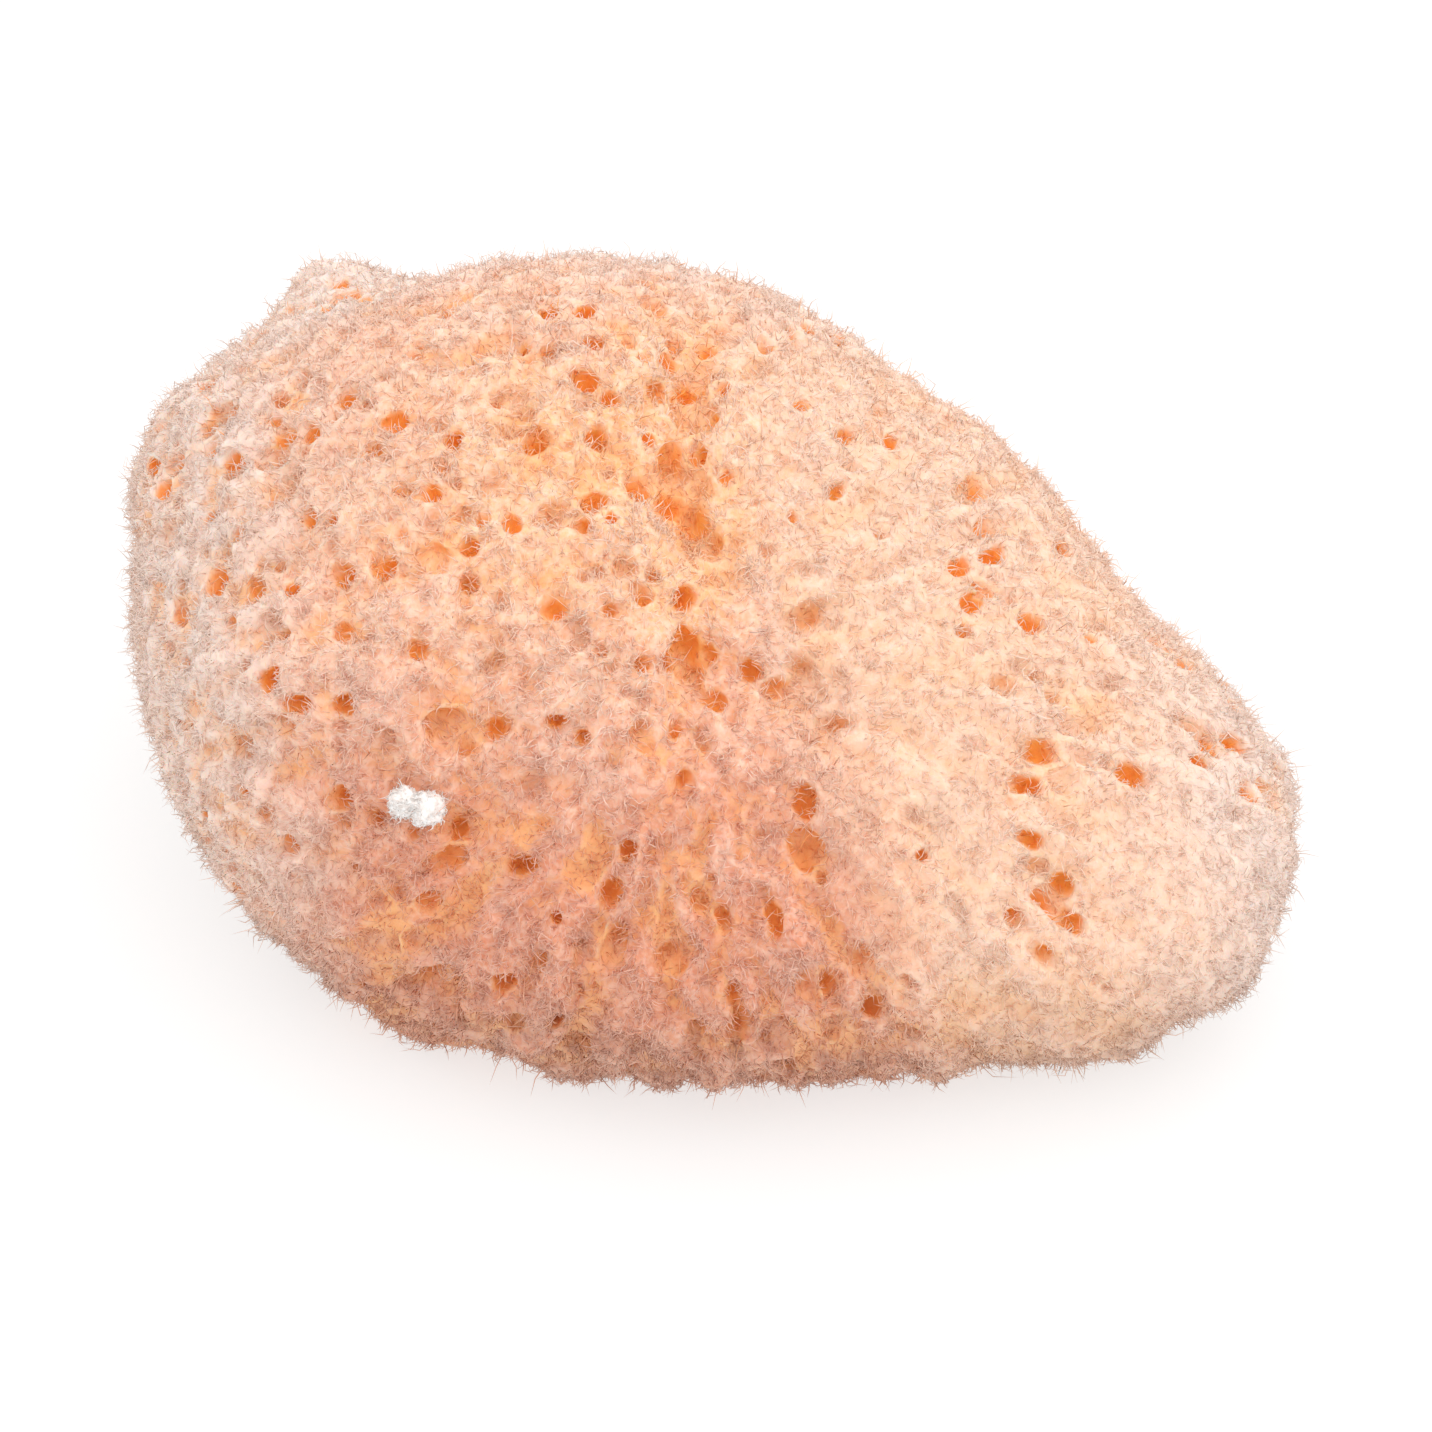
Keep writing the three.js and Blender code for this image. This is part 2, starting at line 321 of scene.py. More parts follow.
def fan_flow(points, normals):
    away = unit(points - FAN_CENTRE)
    along = away - normals * np.sum(away * normals, axis=1, keepdims=True)
    return unit(along)


def fan_strength(points):
    """1 below the fan's centre, on the fluted front, and 0 beside it, over the top and on the back."""
    downward = -unit(points - FAN_CENTRE)[:, 2]
    return fade(downward, 0.35, 0.8) * fade(points[:, 1], 0, -30)


def right_dome(points):
    """1 on the smooth dome to the right of the crease and of the fluted front."""
    return fade(points[:, 0] + 0.4 * (points[:, 2] - 60), -1, 22)


print("share of the skin on the fluted front:", fan_strength(points).mean().round(2))

# %% [markdown]
# The solid's own pits are few and plain, so we fill most of each before we press finer ones in. Imagine a
# film stretched over the sponge: it rests on the skin and bridges the pits. We start it on the skin and
# let each point rise to the mean of its neighbours, never below the skin. After a few rounds it bridges
# the pits alone, and after many also the valleys between the lobes. The skin then rises nearly to the
# film, and what stays open is the depth. A rising floor crumples the net, so the net is renewed. Where the
# film of many rounds stands clear of the skin is a valley, which the colour uses later.

# %% A film over the pits
CORE = np.array([0, -4, 36])  # a point well inside the sponge
NARROW_ROUNDS = 70
BROAD_ROUNDS = 280


def film_depths(points, edges):
    """How far each point lies under a film stretched over the sponge, seen from CORE: early and late."""
    radius = np.linalg.norm(points - CORE, axis=1)
    film = radius.copy()
    for number in range(BROAD_ROUNDS):
        film = np.maximum(radius, neighbour_mean(film, edges))
        if number == NARROW_ROUNDS:
            narrow = film - radius
    return narrow, film - radius


print("the film is stretched from", CORE, "in", BROAD_ROUNDS, "rounds")

# %% Fill the solid's own pits
FILL_ROUNDS = 3
CUT_FACE = 0.4  # points lower than this belong to the cut face
DEEPEST = 0.8
DEEPEST_IN_CREASE = 2.4
REFILL = 0.8  # share of the broad film's gap that is filled at two places where the solid is too hollow
KNOB_FOOT = np.array([-50, 33, 52])
KNOB_REACH = 16
SLIT_FOOT = np.array([2, -27, 55])
SLIT_REACH = 7


def crease_share(points):
    """1 in the crease that runs over the top from the back to the fan."""
    across = np.exp(-((points[:, 0] + 1) / 6) ** 2)
    return across * fade(points[:, 1], 30, 5) * fade(points[:, 1], -34, -20)


def nearness(points, place, reach):
    """1 at a place, fading out over its reach."""
    return np.exp(-np.sum(((points - place) / reach) ** 2, axis=1))


valley = np.zeros(len(points))
for _ in range(FILL_ROUNDS):
    narrow, broad = film_depths(points, edges)
    on_cut = points[:, 2] < CUT_FACE
    narrow[on_cut] = 0
    broad[on_cut] = 0
    valley = np.maximum(valley, fade(broad, 0.4, 2.2))
    film = narrow + (broad - narrow) * fade(narrow, 0.7, 1.5)
    in_crease = crease_share(points) * fade(points[:, 1], -20, -10)
    deepest = DEEPEST + (DEEPEST_IN_CREASE - DEEPEST) * in_crease
    depth = deepest * (1 - np.exp(-film / deepest)) * fade(film, 0.1, 1.5)
    refilled = nearness(points, KNOB_FOOT, KNOB_REACH)
    refilled += nearness(points, SLIT_FOOT, SLIT_REACH)
    rise = film - depth + REFILL * refilled * (broad - film)
    points += unit(points - CORE) * rise[:, None]
    points, normals, edges, depth, valley = renew_points(skin, points, [depth, valley])
    print("the film lay up to", film.max().round(1), "mm over the skin,")
    print("and pits are left", depth.max().round(1), "mm deep")
valley *= 1 - 0.9 * fan_strength(points)  # on the front the flutes carry the colour instead

# %% [markdown]
# A few pits catch the eye in the picture, and those are pressed in one by one at their own places. Real skin
# has hundreds more, from three millimetres across down to pores. A brush that presses each one in, in a
# random order and never too close to its neighbours, looks natural: too even a spacing looks printed, and
# pure chance makes clumps. Boolean cuts would make cleaner pits, but hundreds of them are slow, and their
# sharp rims look drilled. On the front and the right dome the pits are drawn out along the fan.

# %% Pits that catch the eye
# name: place, half length and half width in millimetres
SEEN_PITS = {
    "crater": (-30, -35, 54, 3.2, 1.5),
    "slit under the crease": (-2, -24, 55, 5.6, 1.0),
    "beside the slit": (9, -31, 55, 2.8, 1.4),
    "right of the front, upper": (12, -40, 47, 1.4, 1.1),
    "right of the front, lower": (12, -42, 40, 1.6, 1.4),
    "dark pit on the front": (-17, -49, 35, 2.2, 1.3),
    "round pit on the front": (-4, -50, 31, 1.9, 1.8),
    "groove low at the left": (-35, -44, 19, 7.0, 1.6),
    "groove under the fluff": (-30, -43, 39, 4.0, 1.0),
    "groove in the middle": (-10, -49, 32, 4.0, 1.5),
    "slanting groove": (8, -49, 36, 4.6, 0.9),
    "groove low at the right": (5, -55, 23, 4.2, 1.4),
    "back of the crease": (-4, 11, 75, 2.8, 1.2),
    "middle of the crease": (-4, -7, 70, 3.8, 1.4),
    "front of the crease": (-1, -13, 64, 3.4, 1.2),
    "hollow on the dome": (13, -24, 61, 3.2, 1.7),
    "right of the dome": (42, -44, 36, 1.8, 1.3),
    "low at the right": (20, -51, 23, 2.1, 1.2),
    "left shoulder": (-52, -1, 67, 2.0, 1.2),
    "left side": (-48, -32, 54, 2.8, 1.5),
}
print(len(SEEN_PITS), "pits have a place of their own")

# %% Where chance puts pits
# name: how many, least spacing, smallest and largest half width, depth for each half width
PIT_KINDS = {
    "hole": (540, 3.2, 1.0, 1.8, 2.8),
    "hollow": (280, 5.0, 1.4, 3.0, 0.9),
    "pore": (900, 1.8, 0.6, 0.9, 2.4),
}
CROWN = np.array([-14, -10, 74])
CROWN_REACH = 26


def spread_spots(chance, points, count, apart, sunk):
    """Spots at least that far apart, outside what is sunk, more on the crown and fewer on the dome."""
    chosen = []
    cells = {}
    likely = soft_noise(points / 16, 41) + 0.5 * soft_noise(points / 6, 42)
    likely += 0.4 * nearness(points, CROWN, CROWN_REACH) - 0.35 * right_dome(points)
    for index in chance.permutation(len(points)):
        if sunk[index] > 0.5 or likely[index] < chance.uniform(-0.6, 0.3):
            continue
        cell = tuple((points[index] // apart).astype(int))
        near = [cells.get((cell[0] + x, cell[1] + y, cell[2] + z), ())
                for x in (-1, 0, 1) for y in (-1, 0, 1) for z in (-1, 0, 1)]
        spots = [spot for group in near for spot in group]
        if all(np.sum((points[index] - spot) ** 2) > apart * apart for spot in spots):
            chosen.append(index)
            cells.setdefault(cell, []).append(points[index])
            if len(chosen) == count:
                break
    return np.array(chosen)


print("up to", sum(kind[0] for kind in PIT_KINDS.values()), "pits are left to chance")


# %% A brush that presses pits in
def press_pit(spot, along, long, wide, deep, lean):
    """Press one pit in at a point of the skin, its long way along the flow, leaning a little that way."""
    normal = start_normals[spot]
    across = np.cross(normal, along)
    near = np.array([index for _, index, _ in tree.find_range(start_points[spot], 1.5 * long)])
    offset = start_points[near] - start_points[spot]
    share = np.hypot(offset @ along / long, offset @ across / wide)
    share *= 1 + 0.6 * soft_noise(start_points[near] / (0.9 * math.sqrt(long * wide)), 5)
    push = fade(share, 1.1, -0.3) * deep
    points[near] += np.outer(push, along * lean - normal)
    pressed[near] += push


def press_pits(kind, seed):
    count, apart, small, large, depth_share = PIT_KINDS[kind]
    chance = np.random.default_rng(SEED + seed)
    spots = spread_spots(chance, start_points, count, apart, depth + pressed)
    flow = fan_flow(start_points[spots], start_normals[spots])
    drawn = np.maximum(fan_strength(start_points[spots]), 0.8 * right_dome(start_points[spots]))
    print(len(spots), "pits of the kind", kind)
    for spot, along, share in zip(spots, flow, drawn):
        size = small + (large - small) * chance.random() ** 2
        slender = 1 + share * chance.uniform(0.8, 3)
        turn = (1 - share) * chance.uniform(-1.5, 1.5)
        along = along * math.cos(turn) + np.cross(start_normals[spot], along) * math.sin(turn)
        long, wide = size * slender ** 0.6, size / slender ** 0.4
        press_pit(spot, along, long, wide, size * depth_share, chance.uniform(-0.2, 0.2))


print("the brush presses one kind after another:", *PIT_KINDS)

# %% Press all pits in
DOWN_THE_FRONT = np.array([0.3, -0.65, -0.7])
NO_FLOW = 8  # closer to the fan's centre than this, its flow has no clear direction
SEEN_SIZE = 1.15  # the felt later narrows every pit
SEEN_DEPTH = 2
SEEN_DEPTH_FOR_WIDTH = 1.2

start_points = points.copy()
start_normals = normals.copy()
tree = make_tree(points)
pressed = np.zeros(len(points))
for x, y, z, long, wide in SEEN_PITS.values():
    spot = tree.find((x, y, z))[1]
    along = fan_flow(start_points[spot], start_normals[spot][None])[0]
    if np.linalg.norm(start_points[spot] - FAN_CENTRE) < NO_FLOW:
        along = DOWN_THE_FRONT
    deep = SEEN_DEPTH + SEEN_DEPTH_FOR_WIDTH * wide
    press_pit(spot, along, SEEN_SIZE * long, SEEN_SIZE * wide, deep, 0)
for seed, kind in enumerate(PIT_KINDS):
    press_pits(kind, seed)
write_points(skin.data, points)
normals = read_normals(skin.data)
depth += pressed
print("pits press the skin in by up to", pressed.max().round(1), "mm")

# %% [markdown]
# Between the pits the skin is crumbly. On the front the crumbs are drawn out along the fan into ridges and
# flakes, on the right dome into faint streaks, and elsewhere they are round. Everything sinks by about
# half a millimetre, to leave room for the fibres that grow on it later. Steep relief can fold the net over
# itself, which shows as dark slivers, so the net is renewed once more.

# %% Relief
SINK = 0.55


def skin_relief(points):
    away = np.linalg.norm(points - FAN_CENTRE, axis=1)
    front = fan_strength(points) * fade(away, 6, 26)
    dome = right_dome(points)
    lumps = 1.0 * soft_noise(points / 8, 11) + 1.0 * soft_noise(points / 4, 17)
    round_crumbs = 0.8 * (crumbs(points / 2.9, 12) - 0.6) + 0.45 * (crumbs(points / 1.6, 13) - 0.6)
    ridges = 2.8 * soft_noise(fan_place(points, 9, 26), 14)
    flakes = 0.7 * (crumbs(fan_place(points, 14, 8), 15) - 0.6)
    streaks = 1.2 * soft_noise(fan_place(points, 12, 14), 18)
    fine = 0.4 * soft_noise(points / 1.1, 16)
    plain = (1 - 0.8 * front) * lumps + (1 - 0.55 * front) * round_crumbs
    return (1 - 0.75 * dome) * plain + front * (ridges + flakes) + dome * (1 - front) * streaks + fine


relief = skin_relief(points) * fade(depth, 2.6, 0.7)
on_cut = points[:, 2] < CUT_FACE
relief[on_cut] = -np.abs(relief[on_cut])
points += normals * (relief - SINK * ~on_cut)[:, None]
points, normals, edges, relief, valley = renew_points(skin, points, [relief, valley])
print("relief runs from", relief.min().round(1), "to", relief.max().round(1), "mm")

# %% [markdown]
# The net is now finer than it needs to be on plain stretches. The Decimate modifier merges points where
# that changes the shape least, and it carries along the attributes that we give each point, here the
# relief and the valleys.

# %% Fewer triangles where it is plain
MOST_TRIANGLES = 196000

give_attribute(skin.data, "relief", relief)
give_attribute(skin.data, "valley", valley)
fewer = skin.modifiers.new("fewer", "DECIMATE")
fewer.ratio = MOST_TRIANGLES / (2 * len(skin.data.polygons))
lighter = evaluated_copy(skin)
skin.modifiers.clear()
skin.data = lighter
skin.data.polygons.foreach_set("use_smooth", np.ones(len(skin.data.polygons), bool))
points = read_points(skin.data)
normals = read_normals(skin.data)
edges = read_edges(skin.data)
relief = read_attribute(skin.data, "relief")
valley = read_attribute(skin.data, "valley")
print("skin has", len(skin.data.polygons), "faces, relief", np.percentile(relief, [5, 50, 95]).round(2))

# %% [markdown]
# A pit is orange because light that gets into it has met the walls several times, and each meeting takes out
# some blue and green. What matters is how open a point lies, so we send a few rays out from each point and
# count how many get away. The colour paints that tinted light and the shade of the pits by this openness,
# as painted bounce light and painted shade, and the fibres follow it too.

# %% Openness
RAYS = 10
REACH = 9  # in millimetres
GOLDEN_TURN = 2.399963  # in radians, an angle that spreads rays evenly
RAY_LIFT = 0.2  # in millimetres, so that no ray meets the skin that it starts from
ANY_AXIS = [0.31, 0.57, 0.76]


def read_triangles(mesh):
    mesh.calc_loop_triangles()
    corners = np.empty(3 * len(mesh.loop_triangles), np.int32)
    mesh.loop_triangles.foreach_get("vertices", corners)
    return corners.reshape(-1, 3)


def count_open_rays(points, normals, triangles):
    surface = BVHTree.FromPolygons(points.tolist(), triangles.tolist())
    aside = unit(np.cross(normals, ANY_AXIS))
    ahead = np.cross(normals, aside)
    starts = points + RAY_LIFT * normals
    free = np.zeros(len(points))
    for number in range(RAYS):
        spread = math.sqrt((number + 0.5) / RAYS)
        turn = number * GOLDEN_TURN
        sideways = (aside * math.cos(turn) + ahead * math.sin(turn)) * spread
        heading = sideways + normals * math.sqrt(1 - spread ** 2)
        for index, (start, way) in enumerate(zip(starts.tolist(), heading.tolist())):
            free[index] += surface.ray_cast(start, way, REACH)[0] is None
    return free / RAYS


triangles = read_triangles(skin.data)
openness = count_open_rays(points, normals, triangles)
for _ in range(2):
    openness = 0.5 * openness + 0.5 * neighbour_mean(openness, edges)
give_attribute(skin.data, "openness", openness)
print("openness", np.percentile(openness, [1, 10, 50, 90]).round(2))

# %% [markdown]
# The colour of the sponge drifts over its surface: apricot round the crease, peach on the left, salmon
# low on the front and darkened there by painted shade, cream on the right dome, paler at the far rims,
# and a band of painted shade just above the table. Painting it by hand would be one way. Here each drift
# is a mask from 0 to 1, worked out from the place of a point and kept as an attribute, so that skin and
# fibres share it.

# %% Regions of colour
WARM_SPOT = np.array([-12, -14, 74])
WARM_REACH = np.array([24, 24, 18])


def apricot_share(points, normals):
    """The warm hollow round the crease, and the crown left of it."""
    return np.clip(nearness(points, WARM_SPOT, WARM_REACH) + 0.8 * crease_share(points), 0, 1)


def salmon_and_shade_share(points, normals):
    """The salmon lower front: its own tint, with painted shade where it faces forwards and lies low."""
    facing = fade(normals[:, 1], 0.1, -0.7) * fade(points[:, 2], 72, 36)
    return facing * fade(points[:, 0], 48, 15) * fade(points[:, 0], -66, -38)


def cream_share(points, normals):
    """The smooth dome at the right."""
    return right_dome(points)


def pale_share(points, normals):
    """The paler outer rims at the left, the back and the far right."""
    left = fade(points[:, 0], -38, -64)
    back = fade(points[:, 1], 8, 42)
    right = fade(points[:, 0], 45, 72)
    return np.clip(left + back + right, 0, 1)


def painted_shade_share(points, normals):
    """A band of painted shade just above the table, darkest at the table."""
    return fade(points[:, 2], 34, 4)


smooth_normals = normals
for _ in range(20):
    smooth_normals = neighbour_mean(smooth_normals, edges)
smooth_normals = unit(smooth_normals)
fields = {"relief": relief, "openness": openness, "valley": valley}
for name, share in (("apricot", apricot_share), ("salmon", salmon_and_shade_share), ("cream", cream_share),
                    ("pale", pale_share), ("dusk", painted_shade_share)):
    patchy = 0.25 * soft_noise(points / 9, len(name)) + 0.15 * soft_noise(points / 4, len(name) + 9)
    fields[name] = np.clip(share(points, smooth_normals) + patchy, 0, 1)
    give_attribute(skin.data, name, fields[name])
    print(name, "covers", round(float(fields[name].mean()), 2), "of the skin")

# %% [markdown]
# Skin and fibres take their colour from one node group, so that a fibre always suits the skin it grows on.
# The group blends the regions, then paints by relief: the ends of the fibre bundles are dry and pale, partly
# as painted light on raised parts, and the creases and valleys between them get painted bounce light and
# shade, the tint that light takes when it comes out of them. Pits get the strongest painted bounce light and
# shade, and a band of painted shade lies just above the table. Three inputs let each material say how
# pale its raised parts are, in which colour, and how strongly its creases are tinted.

# %% Colour group
PEACH = (0.95, 0.57, 0.40)
APRICOT = (1.0, 0.58, 0.31)
# salmon of the lower front: a real tint, made darker as painted shade
SALMON_AND_SHADE = (0.78, 0.34, 0.21)
CREAM = (0.92, 0.61, 0.43)
PALE = (0.88, 0.72, 0.64)
# painted shade, darkening the colour towards the table
PAINTED_SHADE = (0.48, 0.30, 0.23)
# painted bounce light and shade in the creases and valleys
CREASE = (1.0, 0.50, 0.22)
PALE_CREASE = (0.97, 0.60, 0.36)
# painted bounce light and shade deep in the pits
HOLE = (1.0, 0.40, 0.09)
# pit colour low on the front, darker than HOLE as painted shade
SHADED_LOW_HOLE = (0.85, 0.30, 0.08)


class Wiring:
    """Short names for the nodes that the colour group is wired from."""

    def __init__(self, tree):
        self.nodes, self.links = tree.nodes, tree.links

    def attribute(self, name):
        node = self.nodes.new("ShaderNodeAttribute")
        node.attribute_name = name
        return node.outputs["Fac"]

    def ramp(self, value, low, high, top=1.0):
        node = self.nodes.new("ShaderNodeMapRange")
        node.interpolation_type = "SMOOTHSTEP"
        node.inputs["From Min"].default_value = low
        node.inputs["From Max"].default_value = high
        node.inputs["To Max"].default_value = top
        self.links.new(value, node.inputs["Value"])
        return node.outputs["Result"]

    def times(self, one, other):
        node = self.nodes.new("ShaderNodeMath")
        node.operation = "MULTIPLY"
        self.links.new(one, node.inputs[0])
        self.links.new(other, node.inputs[1])
        return node.outputs[0]

    def mix(self, share, one, other):
        node = self.nodes.new("ShaderNodeMix")
        node.data_type = "RGBA"
        self.links.new(share, node.inputs[0])
        for place, value in ((6, one), (7, other)):
            if isinstance(value, tuple):
                node.inputs[place].default_value = (*value, 1)
            else:
                self.links.new(value, node.inputs[place])
        return node.outputs[2]


def make_colour_group():
    group = bpy.data.node_groups.new("sponge_colour", "ShaderNodeTree")
    group.interface.new_socket("Dry Share", in_out="INPUT", socket_type="NodeSocketFloat")
    group.interface.new_socket("Dry Colour", in_out="INPUT", socket_type="NodeSocketColor")
    group.interface.new_socket("Crease Share", in_out="INPUT", socket_type="NodeSocketFloat")
    group.interface.new_socket("Colour", in_out="OUTPUT", socket_type="NodeSocketColor")
    wire = Wiring(group)
    given = group.nodes.new("NodeGroupInput")
    result = group.nodes.new("NodeGroupOutput")
    body = wire.mix(wire.attribute("apricot"), PEACH, APRICOT)
    # the salmon front: its own tint, darkened by painted shade
    body = wire.mix(wire.attribute("salmon"), body, SALMON_AND_SHADE)
    body = wire.mix(wire.attribute("cream"), body, CREAM)
    body = wire.mix(wire.attribute("pale"), body, PALE)
    creased = wire.mix(wire.attribute("cream"), CREASE, PALE_CREASE)
    # painted bounce light and shade where the relief is low and in the valleys
    by_relief = wire.times(wire.ramp(wire.attribute("relief"), 0.1, -1.1), given.outputs["Crease Share"])
    creases = wire.mix(by_relief, body, creased)
    by_valley = wire.times(wire.ramp(wire.attribute("valley"), 0, 1, 0.45), given.outputs["Crease Share"])
    creases = wire.mix(by_valley, creases, creased)
    raised = wire.times(wire.ramp(wire.attribute("relief"), -1.9, 0.7), given.outputs["Dry Share"])
    raised = wire.times(raised, wire.ramp(wire.attribute("salmon"), 2.2, 0))
    raised = wire.times(raised, wire.ramp(wire.attribute("valley"), 2.6, 0))
    raised = wire.times(raised, wire.ramp(wire.attribute("pale"), 2.0, 0))
    dry = wire.mix(raised, creases, given.outputs["Dry Colour"])
    # painted bounce light and shade where the skin lies less open
    sunk = wire.mix(wire.ramp(wire.attribute("openness"), 0.85, 0.5, 0.75), dry, creased)
    hole = wire.mix(wire.attribute("salmon"), HOLE, SHADED_LOW_HOLE)
    holes = wire.mix(wire.ramp(wire.attribute("openness"), 0.7, 0.4), sunk, hole)
    # painted shade: up to 0.4 of this dark colour, strongest at the table
    with_painted_shade = wire.mix(wire.ramp(wire.attribute("dusk"), 0, 1, 0.4), holes, PAINTED_SHADE)
    group.links.new(with_painted_shade, result.inputs["Colour"])
    return group


sponge_colour = make_colour_group()
print("colour group has", len(sponge_colour.nodes), "nodes")

# %% [markdown]
# Sponge is translucent, so its skin needs light that wanders below the surface before it comes out. Red
# wanders furthest, which is why pits glow orange instead of turning grey. The finest fibres are too small
# to model, so a noise with waves under a millimetre pushes the shading up and down and breaks up the
# colour.

# %% Skin material
SKIN_GRAIN = 0.75  # size of the waves in millimetres
SKIN_BUMP = 0.35  # height of the bump in millimetres
SKIN_SHARE = 0.8  # how strongly the creases of the skin are tinted
SKIN_DRY = (0.95, 0.74, 0.63)


def start_material(name, crease_share, dry_colour):
    material = bpy.data.materials.new(name)
    material.use_nodes = True
    shader = material.node_tree.nodes["Principled BSDF"]
    shader.inputs["Roughness"].default_value = 0.95
    shader.inputs["Specular IOR Level"].default_value = 0.1
    colour = material.node_tree.nodes.new("ShaderNodeGroup")
    colour.node_tree = sponge_colour
    colour.inputs["Crease Share"].default_value = crease_share
    colour.inputs["Dry Colour"].default_value = (*dry_colour, 1)
    return material, shader, colour.outputs["Colour"]


def felt_noise(material, size, detail):
    """Noise with waves of one size in millimetres, fixed to the piece."""
    nodes, links = material.node_tree.nodes, material.node_tree.links
    place = nodes.new("ShaderNodeTexCoord")
    noise = nodes.new("ShaderNodeTexNoise")
    noise.inputs["Scale"].default_value = 1 / (size * MM)
    noise.inputs["Detail"].default_value = detail
    links.new(place.outputs["Object"], noise.inputs["Vector"])
    return noise.outputs["Fac"]


def make_skin_material():
    material, shader, colour = start_material("sponge_skin", SKIN_SHARE, SKIN_DRY)
    links = material.node_tree.links
    wire = Wiring(material.node_tree)
    grain = felt_noise(material, SKIN_GRAIN, 3)
    links.new(wire.ramp(grain, 0.35, 0.65, 0.6), colour.node.inputs["Dry Share"])
    links.new(colour, shader.inputs["Base Color"])
    bump = material.node_tree.nodes.new("ShaderNodeBump")
    bump.inputs["Strength"].default_value = 0.8
    bump.inputs["Distance"].default_value = SKIN_BUMP * MM
    links.new(grain, bump.inputs["Height"])
    links.new(bump.outputs["Normal"], shader.inputs["Normal"])
    shader.inputs["Subsurface Weight"].default_value = 0.55
    shader.inputs["Subsurface Radius"].default_value = (1.0, 0.6, 0.4)
    shader.inputs["Subsurface Scale"].default_value = 2.0 * MM
    return material


skin_material = make_skin_material()
skin.data.materials.clear()
skin.data.materials.append(skin_material)
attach(skin, "root")
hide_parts(NODE)
print("skin material has", len(skin_material.node_tree.nodes), "nodes")

# %% [markdown]
# The felt is made of separate strands, one to two tenths of a millimetre thick. Each one rises from the
# skin, bends and comes back down, and thousands of them tangle. Hair curves would be one way, but they
# don't become a solid mesh, so each strand here is a closed tube of three sides with one bend and a
# pointed tip: ten triangles. Numpy builds all strands of a piece at once.

# %% Shape of the strands
STRAND_SIDES = 3
STRAND_RADIUS = (0.055, 0.095)
STRAND_LENGTH = 1.55
ROOT_DEPTH = 0.12  # how far a strand starts below the skin, in millimetres


def strand_triangles():
    """The ten triangles of one strand: root 0-2, bend 3-5, tip 6."""
    triangles = [(0, 2, 1)]
    for a in range(STRAND_SIDES):
        b = (a + 1) % STRAND_SIDES
        triangles += [(a, b, b + 3), (a, b + 3, a + 3), (a + 3, b + 3, 6)]
    return np.array(triangles)


def turn_about(vectors, axes, angles):
    """Each vector turned about its own unit axis."""
    cosine, sine = np.cos(angles)[:, None], np.sin(angles)[:, None]
    dot = np.sum(vectors * axes, axis=1, keepdims=True)
    return vectors * cosine + np.cross(axes, vectors) * sine + axes * dot * (1 - cosine)


def strand_places(chance, root, normal, flow, stray, scale):
    """Seven points for each strand. A stray strand stands up more and is longer."""
    count = len(root)
    side = turn_about(flow, normal, chance.normal(0, 1.5, count))
    lift = np.radians(np.where(stray, chance.uniform(25, 75, count), chance.uniform(5, 50, count)))[:, None]
    first = unit(side * np.cos(lift) + normal * np.sin(lift))
    over = unit(np.cross(first, normal) + 0.7 * chance.normal(size=(count, 3)))
    second = unit(turn_about(first, over, -np.radians(chance.normal(70, 35, count))))
    length = scale * STRAND_LENGTH * np.exp(chance.normal(0.35 * stray, 0.3, count))[:, None] / 2
    bend = root + first * length
    tip = bend + second * length * 1.1
    radius = chance.uniform(*STRAND_RADIUS, count)[:, None]
    out = unit(np.cross(first, second) + 1e-3 * normal)
    places = []
    foot = root - ROOT_DEPTH * normal
    for start, heading, share in ((foot, first, 1.0), (bend, unit(first + second), 0.85)):
        up = unit(np.cross(heading, out))
        for corner in range(STRAND_SIDES):
            angle = 2 * math.pi * corner / STRAND_SIDES
            places.append(start + share * radius * (out * math.cos(angle) - up * math.sin(angle)))
    places.append(tip)
    return np.stack(places, axis=1)


print("a strand has", len(strand_triangles()), "triangles")

# %% [markdown]
# A piece of felt needs a ground to grow on. Each strand picks a triangle of the ground by chance, with
# larger odds where the weights are larger, and a spot inside it. It takes over the colour fields of that
# spot, so a strand beside a pit is as orange as the skin it comes from. Some strands stray: they stand up
# and are longer, mostly in loose patches, and make the outline fuzzy.

# %% Pieces of felt
STRAY_SHARE = 0.08
STRAY_SHARE_IN_PATCHES = 0.6
LOWEST = 0.02  # no strand goes lower than this, in millimetres over the table
STRAND_SHARE = 0.35  # how strongly strands in a crease are tinted
STRAND_DRY = (0.98, 0.79, 0.70)


def mesh_from_arrays(name, places, triangles):
    mesh = bpy.data.meshes.new(name)
    mesh.vertices.add(len(places))
    mesh.loops.add(3 * len(triangles))
    mesh.polygons.add(len(triangles))
    mesh.vertices.foreach_set("co", (places * MM).astype(np.float32).ravel())
    mesh.loops.foreach_set("vertex_index", triangles.astype(np.int32).ravel())
    mesh.polygons.foreach_set("loop_start", np.arange(0, 3 * len(triangles), 3, dtype=np.int32))
    mesh.polygons.foreach_set("use_smooth", np.ones(len(triangles), bool))
    mesh.update(calc_edges=True)
    return mesh


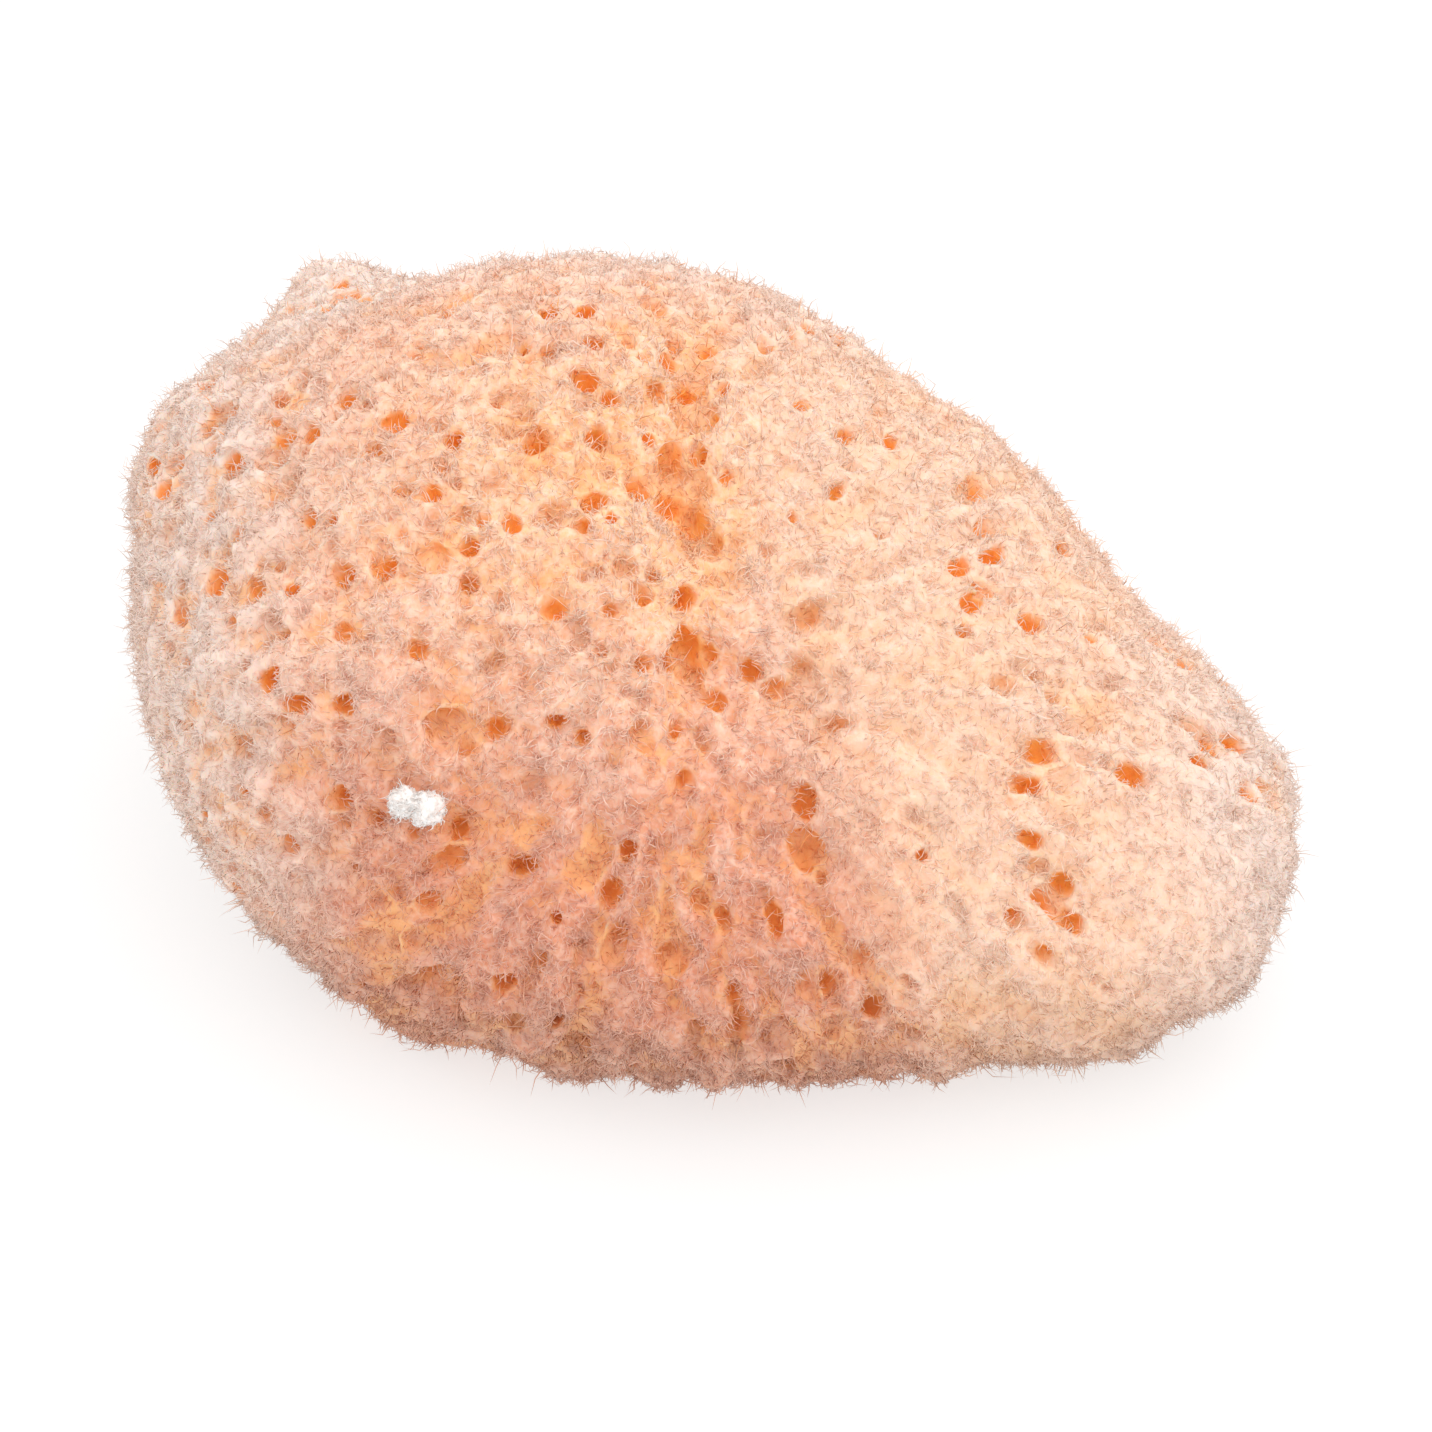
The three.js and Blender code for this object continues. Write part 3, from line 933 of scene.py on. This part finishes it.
def make_felt(name, seed, count, ground, weights, material, scale=1.0):
    """Strands on a ground, which is its points, normals, triangles and fields, placed by the weights."""
    ground_points, ground_normals, triangles, ground_fields = ground
    chance = np.random.default_rng(SEED + seed)
    chosen = triangles[chance.choice(len(triangles), count, p=weights)]
    share = chance.dirichlet((1, 1, 1), count)

    def at_root(values):
        return np.sum(values[chosen] * share.reshape(count, 3, *[1] * (values.ndim - 1)), axis=1)

    root = at_root(ground_points)
    normal = unit(at_root(ground_normals))
    patches = fade(soft_noise(root / 1.5, 62), 0.15, 0.45)
    stray = chance.random(count) < STRAY_SHARE + STRAY_SHARE_IN_PATCHES * patches
    places = strand_places(chance, root, normal, fan_flow(root, normal), stray, scale)
    places[:, :, 2] = np.maximum(places[:, :, 2], LOWEST)
    each = places.shape[1]
    faces = strand_triangles()[None] + each * np.arange(count)[:, None, None]
    mesh = mesh_from_arrays(name, places.reshape(-1, 3), faces.reshape(-1, 3))
    for field, values in ground_fields.items():
        give_attribute(mesh, field, np.repeat(at_root(values), each))
    give_attribute(mesh, "shade", np.repeat(chance.random(count), each))
    mesh.materials.append(material)
    piece = bpy.data.objects.new(name, mesh)
    bpy.context.scene.collection.objects.link(piece)
    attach(piece, "root")
    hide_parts(NODE)
    return piece


def make_strand_material():
    material, shader, colour = start_material("sponge_strand", STRAND_SHARE, STRAND_DRY)
    links = material.node_tree.links
    wire = Wiring(material.node_tree)
    links.new(wire.ramp(wire.attribute("shade"), -0.7, 1, 0.8), colour.node.inputs["Dry Share"])
    links.new(colour, shader.inputs["Base Color"])
    return material


strand_material = make_strand_material()
print("strand material has", len(strand_material.node_tree.nodes), "nodes")

# %% [markdown]
# Strands grow everywhere except deep in the pits. They stand closer on raised crumbs and in tufts that
# come by chance, a little thinner on the right dome and at the back, and hardly any grow on the cut face.
# The felt is five pieces only because each mesh stays under two hundred thousand triangles. Every piece
# covers the whole sponge.

# %% Felt over the sponge
FELT_PIECES = 5
STRANDS_EACH = 19500
CUT_FACE_SHARE = 0.05


def felt_weights(points, triangles):
    one, two, three = (points[triangles[:, corner]] for corner in range(3))
    area = np.linalg.norm(np.cross(two - one, three - one), axis=1)
    open_skin = fade(openness, 0.4, 0.7)
    tufts = np.exp(1.2 * soft_noise(points / 2.2, 61)) * (0.8 + 0.5 * fade(relief, -0.8, 0.4))
    dome = 1 - 0.2 * right_dome(points)
    behind = 1 - 0.35 * fade(points[:, 1], 10, 40)
    thick = open_skin * tufts * dome * behind
    thick[points[:, 2] < 1] = CUT_FACE_SHARE
    weights = area * thick[triangles].mean(axis=1)
    return weights / weights.sum()


weights = felt_weights(points, triangles)
ground = (points, normals, triangles, fields)
for number in range(FELT_PIECES):
    felt = make_felt(f"felt_{number + 1}", 100 + number, STRANDS_EACH, ground, weights, strand_material)
    print(felt.name, "has", len(felt.data.polygons), "triangles")

# %% [markdown]
# A white tuft of fluff clings to the left of the front, two soft lobes about six millimetres across. One
# sphere for each lobe, pushed about by noise, makes its body, and the same strands, in white and half as
# long, make its fuzz.

# %% White fluff
FLUFF_SPOT = np.array([-33, -41, 46])
FLUFF_LOBES = ((-1.5, 0.3, 1.7), (1.3, -0.2, 2.0))  # sideways, up the skin, radius
FLUFF_LIFT = 0.6  # how far the lobes' middles stand out from the skin, in millimetres
FLUFF_SHADED = (0.94, 0.87, 0.83)
FLUFF_WHITE = (0.98, 0.97, 0.96)
FUZZ_STRANDS = 700
FUZZ_SCALE = 0.5


def make_fluff_material():
    material = bpy.data.materials.new("white_fluff")
    material.use_nodes = True
    shader = material.node_tree.nodes["Principled BSDF"]
    shader.inputs["Roughness"].default_value = 0.95
    shader.inputs["Specular IOR Level"].default_value = 0.1
    wire = Wiring(material.node_tree)
    grain = felt_noise(material, 0.5, 2)
    shade = wire.mix(wire.ramp(grain, 0.35, 0.65), FLUFF_SHADED, FLUFF_WHITE)
    material.node_tree.links.new(shade, shader.inputs["Base Color"])
    return material


def make_fluff_body(place, normal):
    aside = unit(np.cross([0, 0, 1], normal))
    upward = np.cross(normal, aside)
    mesh = bmesh.new()
    for across, up, radius in FLUFF_LOBES:
        centre = place + aside * across + upward * up + normal * FLUFF_LIFT
        bmesh.ops.create_icosphere(mesh, subdivisions=4, radius=radius * MM,
                                   matrix=Matrix.Translation(Vector(centre * MM)))
    body = bpy.data.meshes.new("white_fluff")
    mesh.to_mesh(body)
    mesh.free()
    body_points = read_points(body)
    lumps = 0.5 * soft_noise(body_points / 1.1, 71) + 0.3 * soft_noise(body_points / 0.5, 72)
    write_points(body, body_points + read_normals(body) * lumps[:, None])
    body.polygons.foreach_set("use_smooth", np.ones(len(body.polygons), bool))
    return body


nearest = np.argmin(np.sum((points - FLUFF_SPOT) ** 2, axis=1))
fluff_material = make_fluff_material()
body = make_fluff_body(points[nearest], smooth_normals[nearest])
body.materials.append(fluff_material)
fluff = bpy.data.objects.new("white_fluff", body)
bpy.context.scene.collection.objects.link(fluff)
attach(fluff, "root")
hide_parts(NODE)
body_triangles = read_triangles(body)
even = np.ones(len(body_triangles)) / len(body_triangles)
ground = (read_points(body), read_normals(body), body_triangles, {})
fuzz = make_felt("white_fluff_fuzz", 200, FUZZ_STRANDS, ground, even, fluff_material, FUZZ_SCALE)
print("fluff sits at", points[nearest].round(1))
print("its fuzz has", len(fuzz.data.polygons), "triangles")
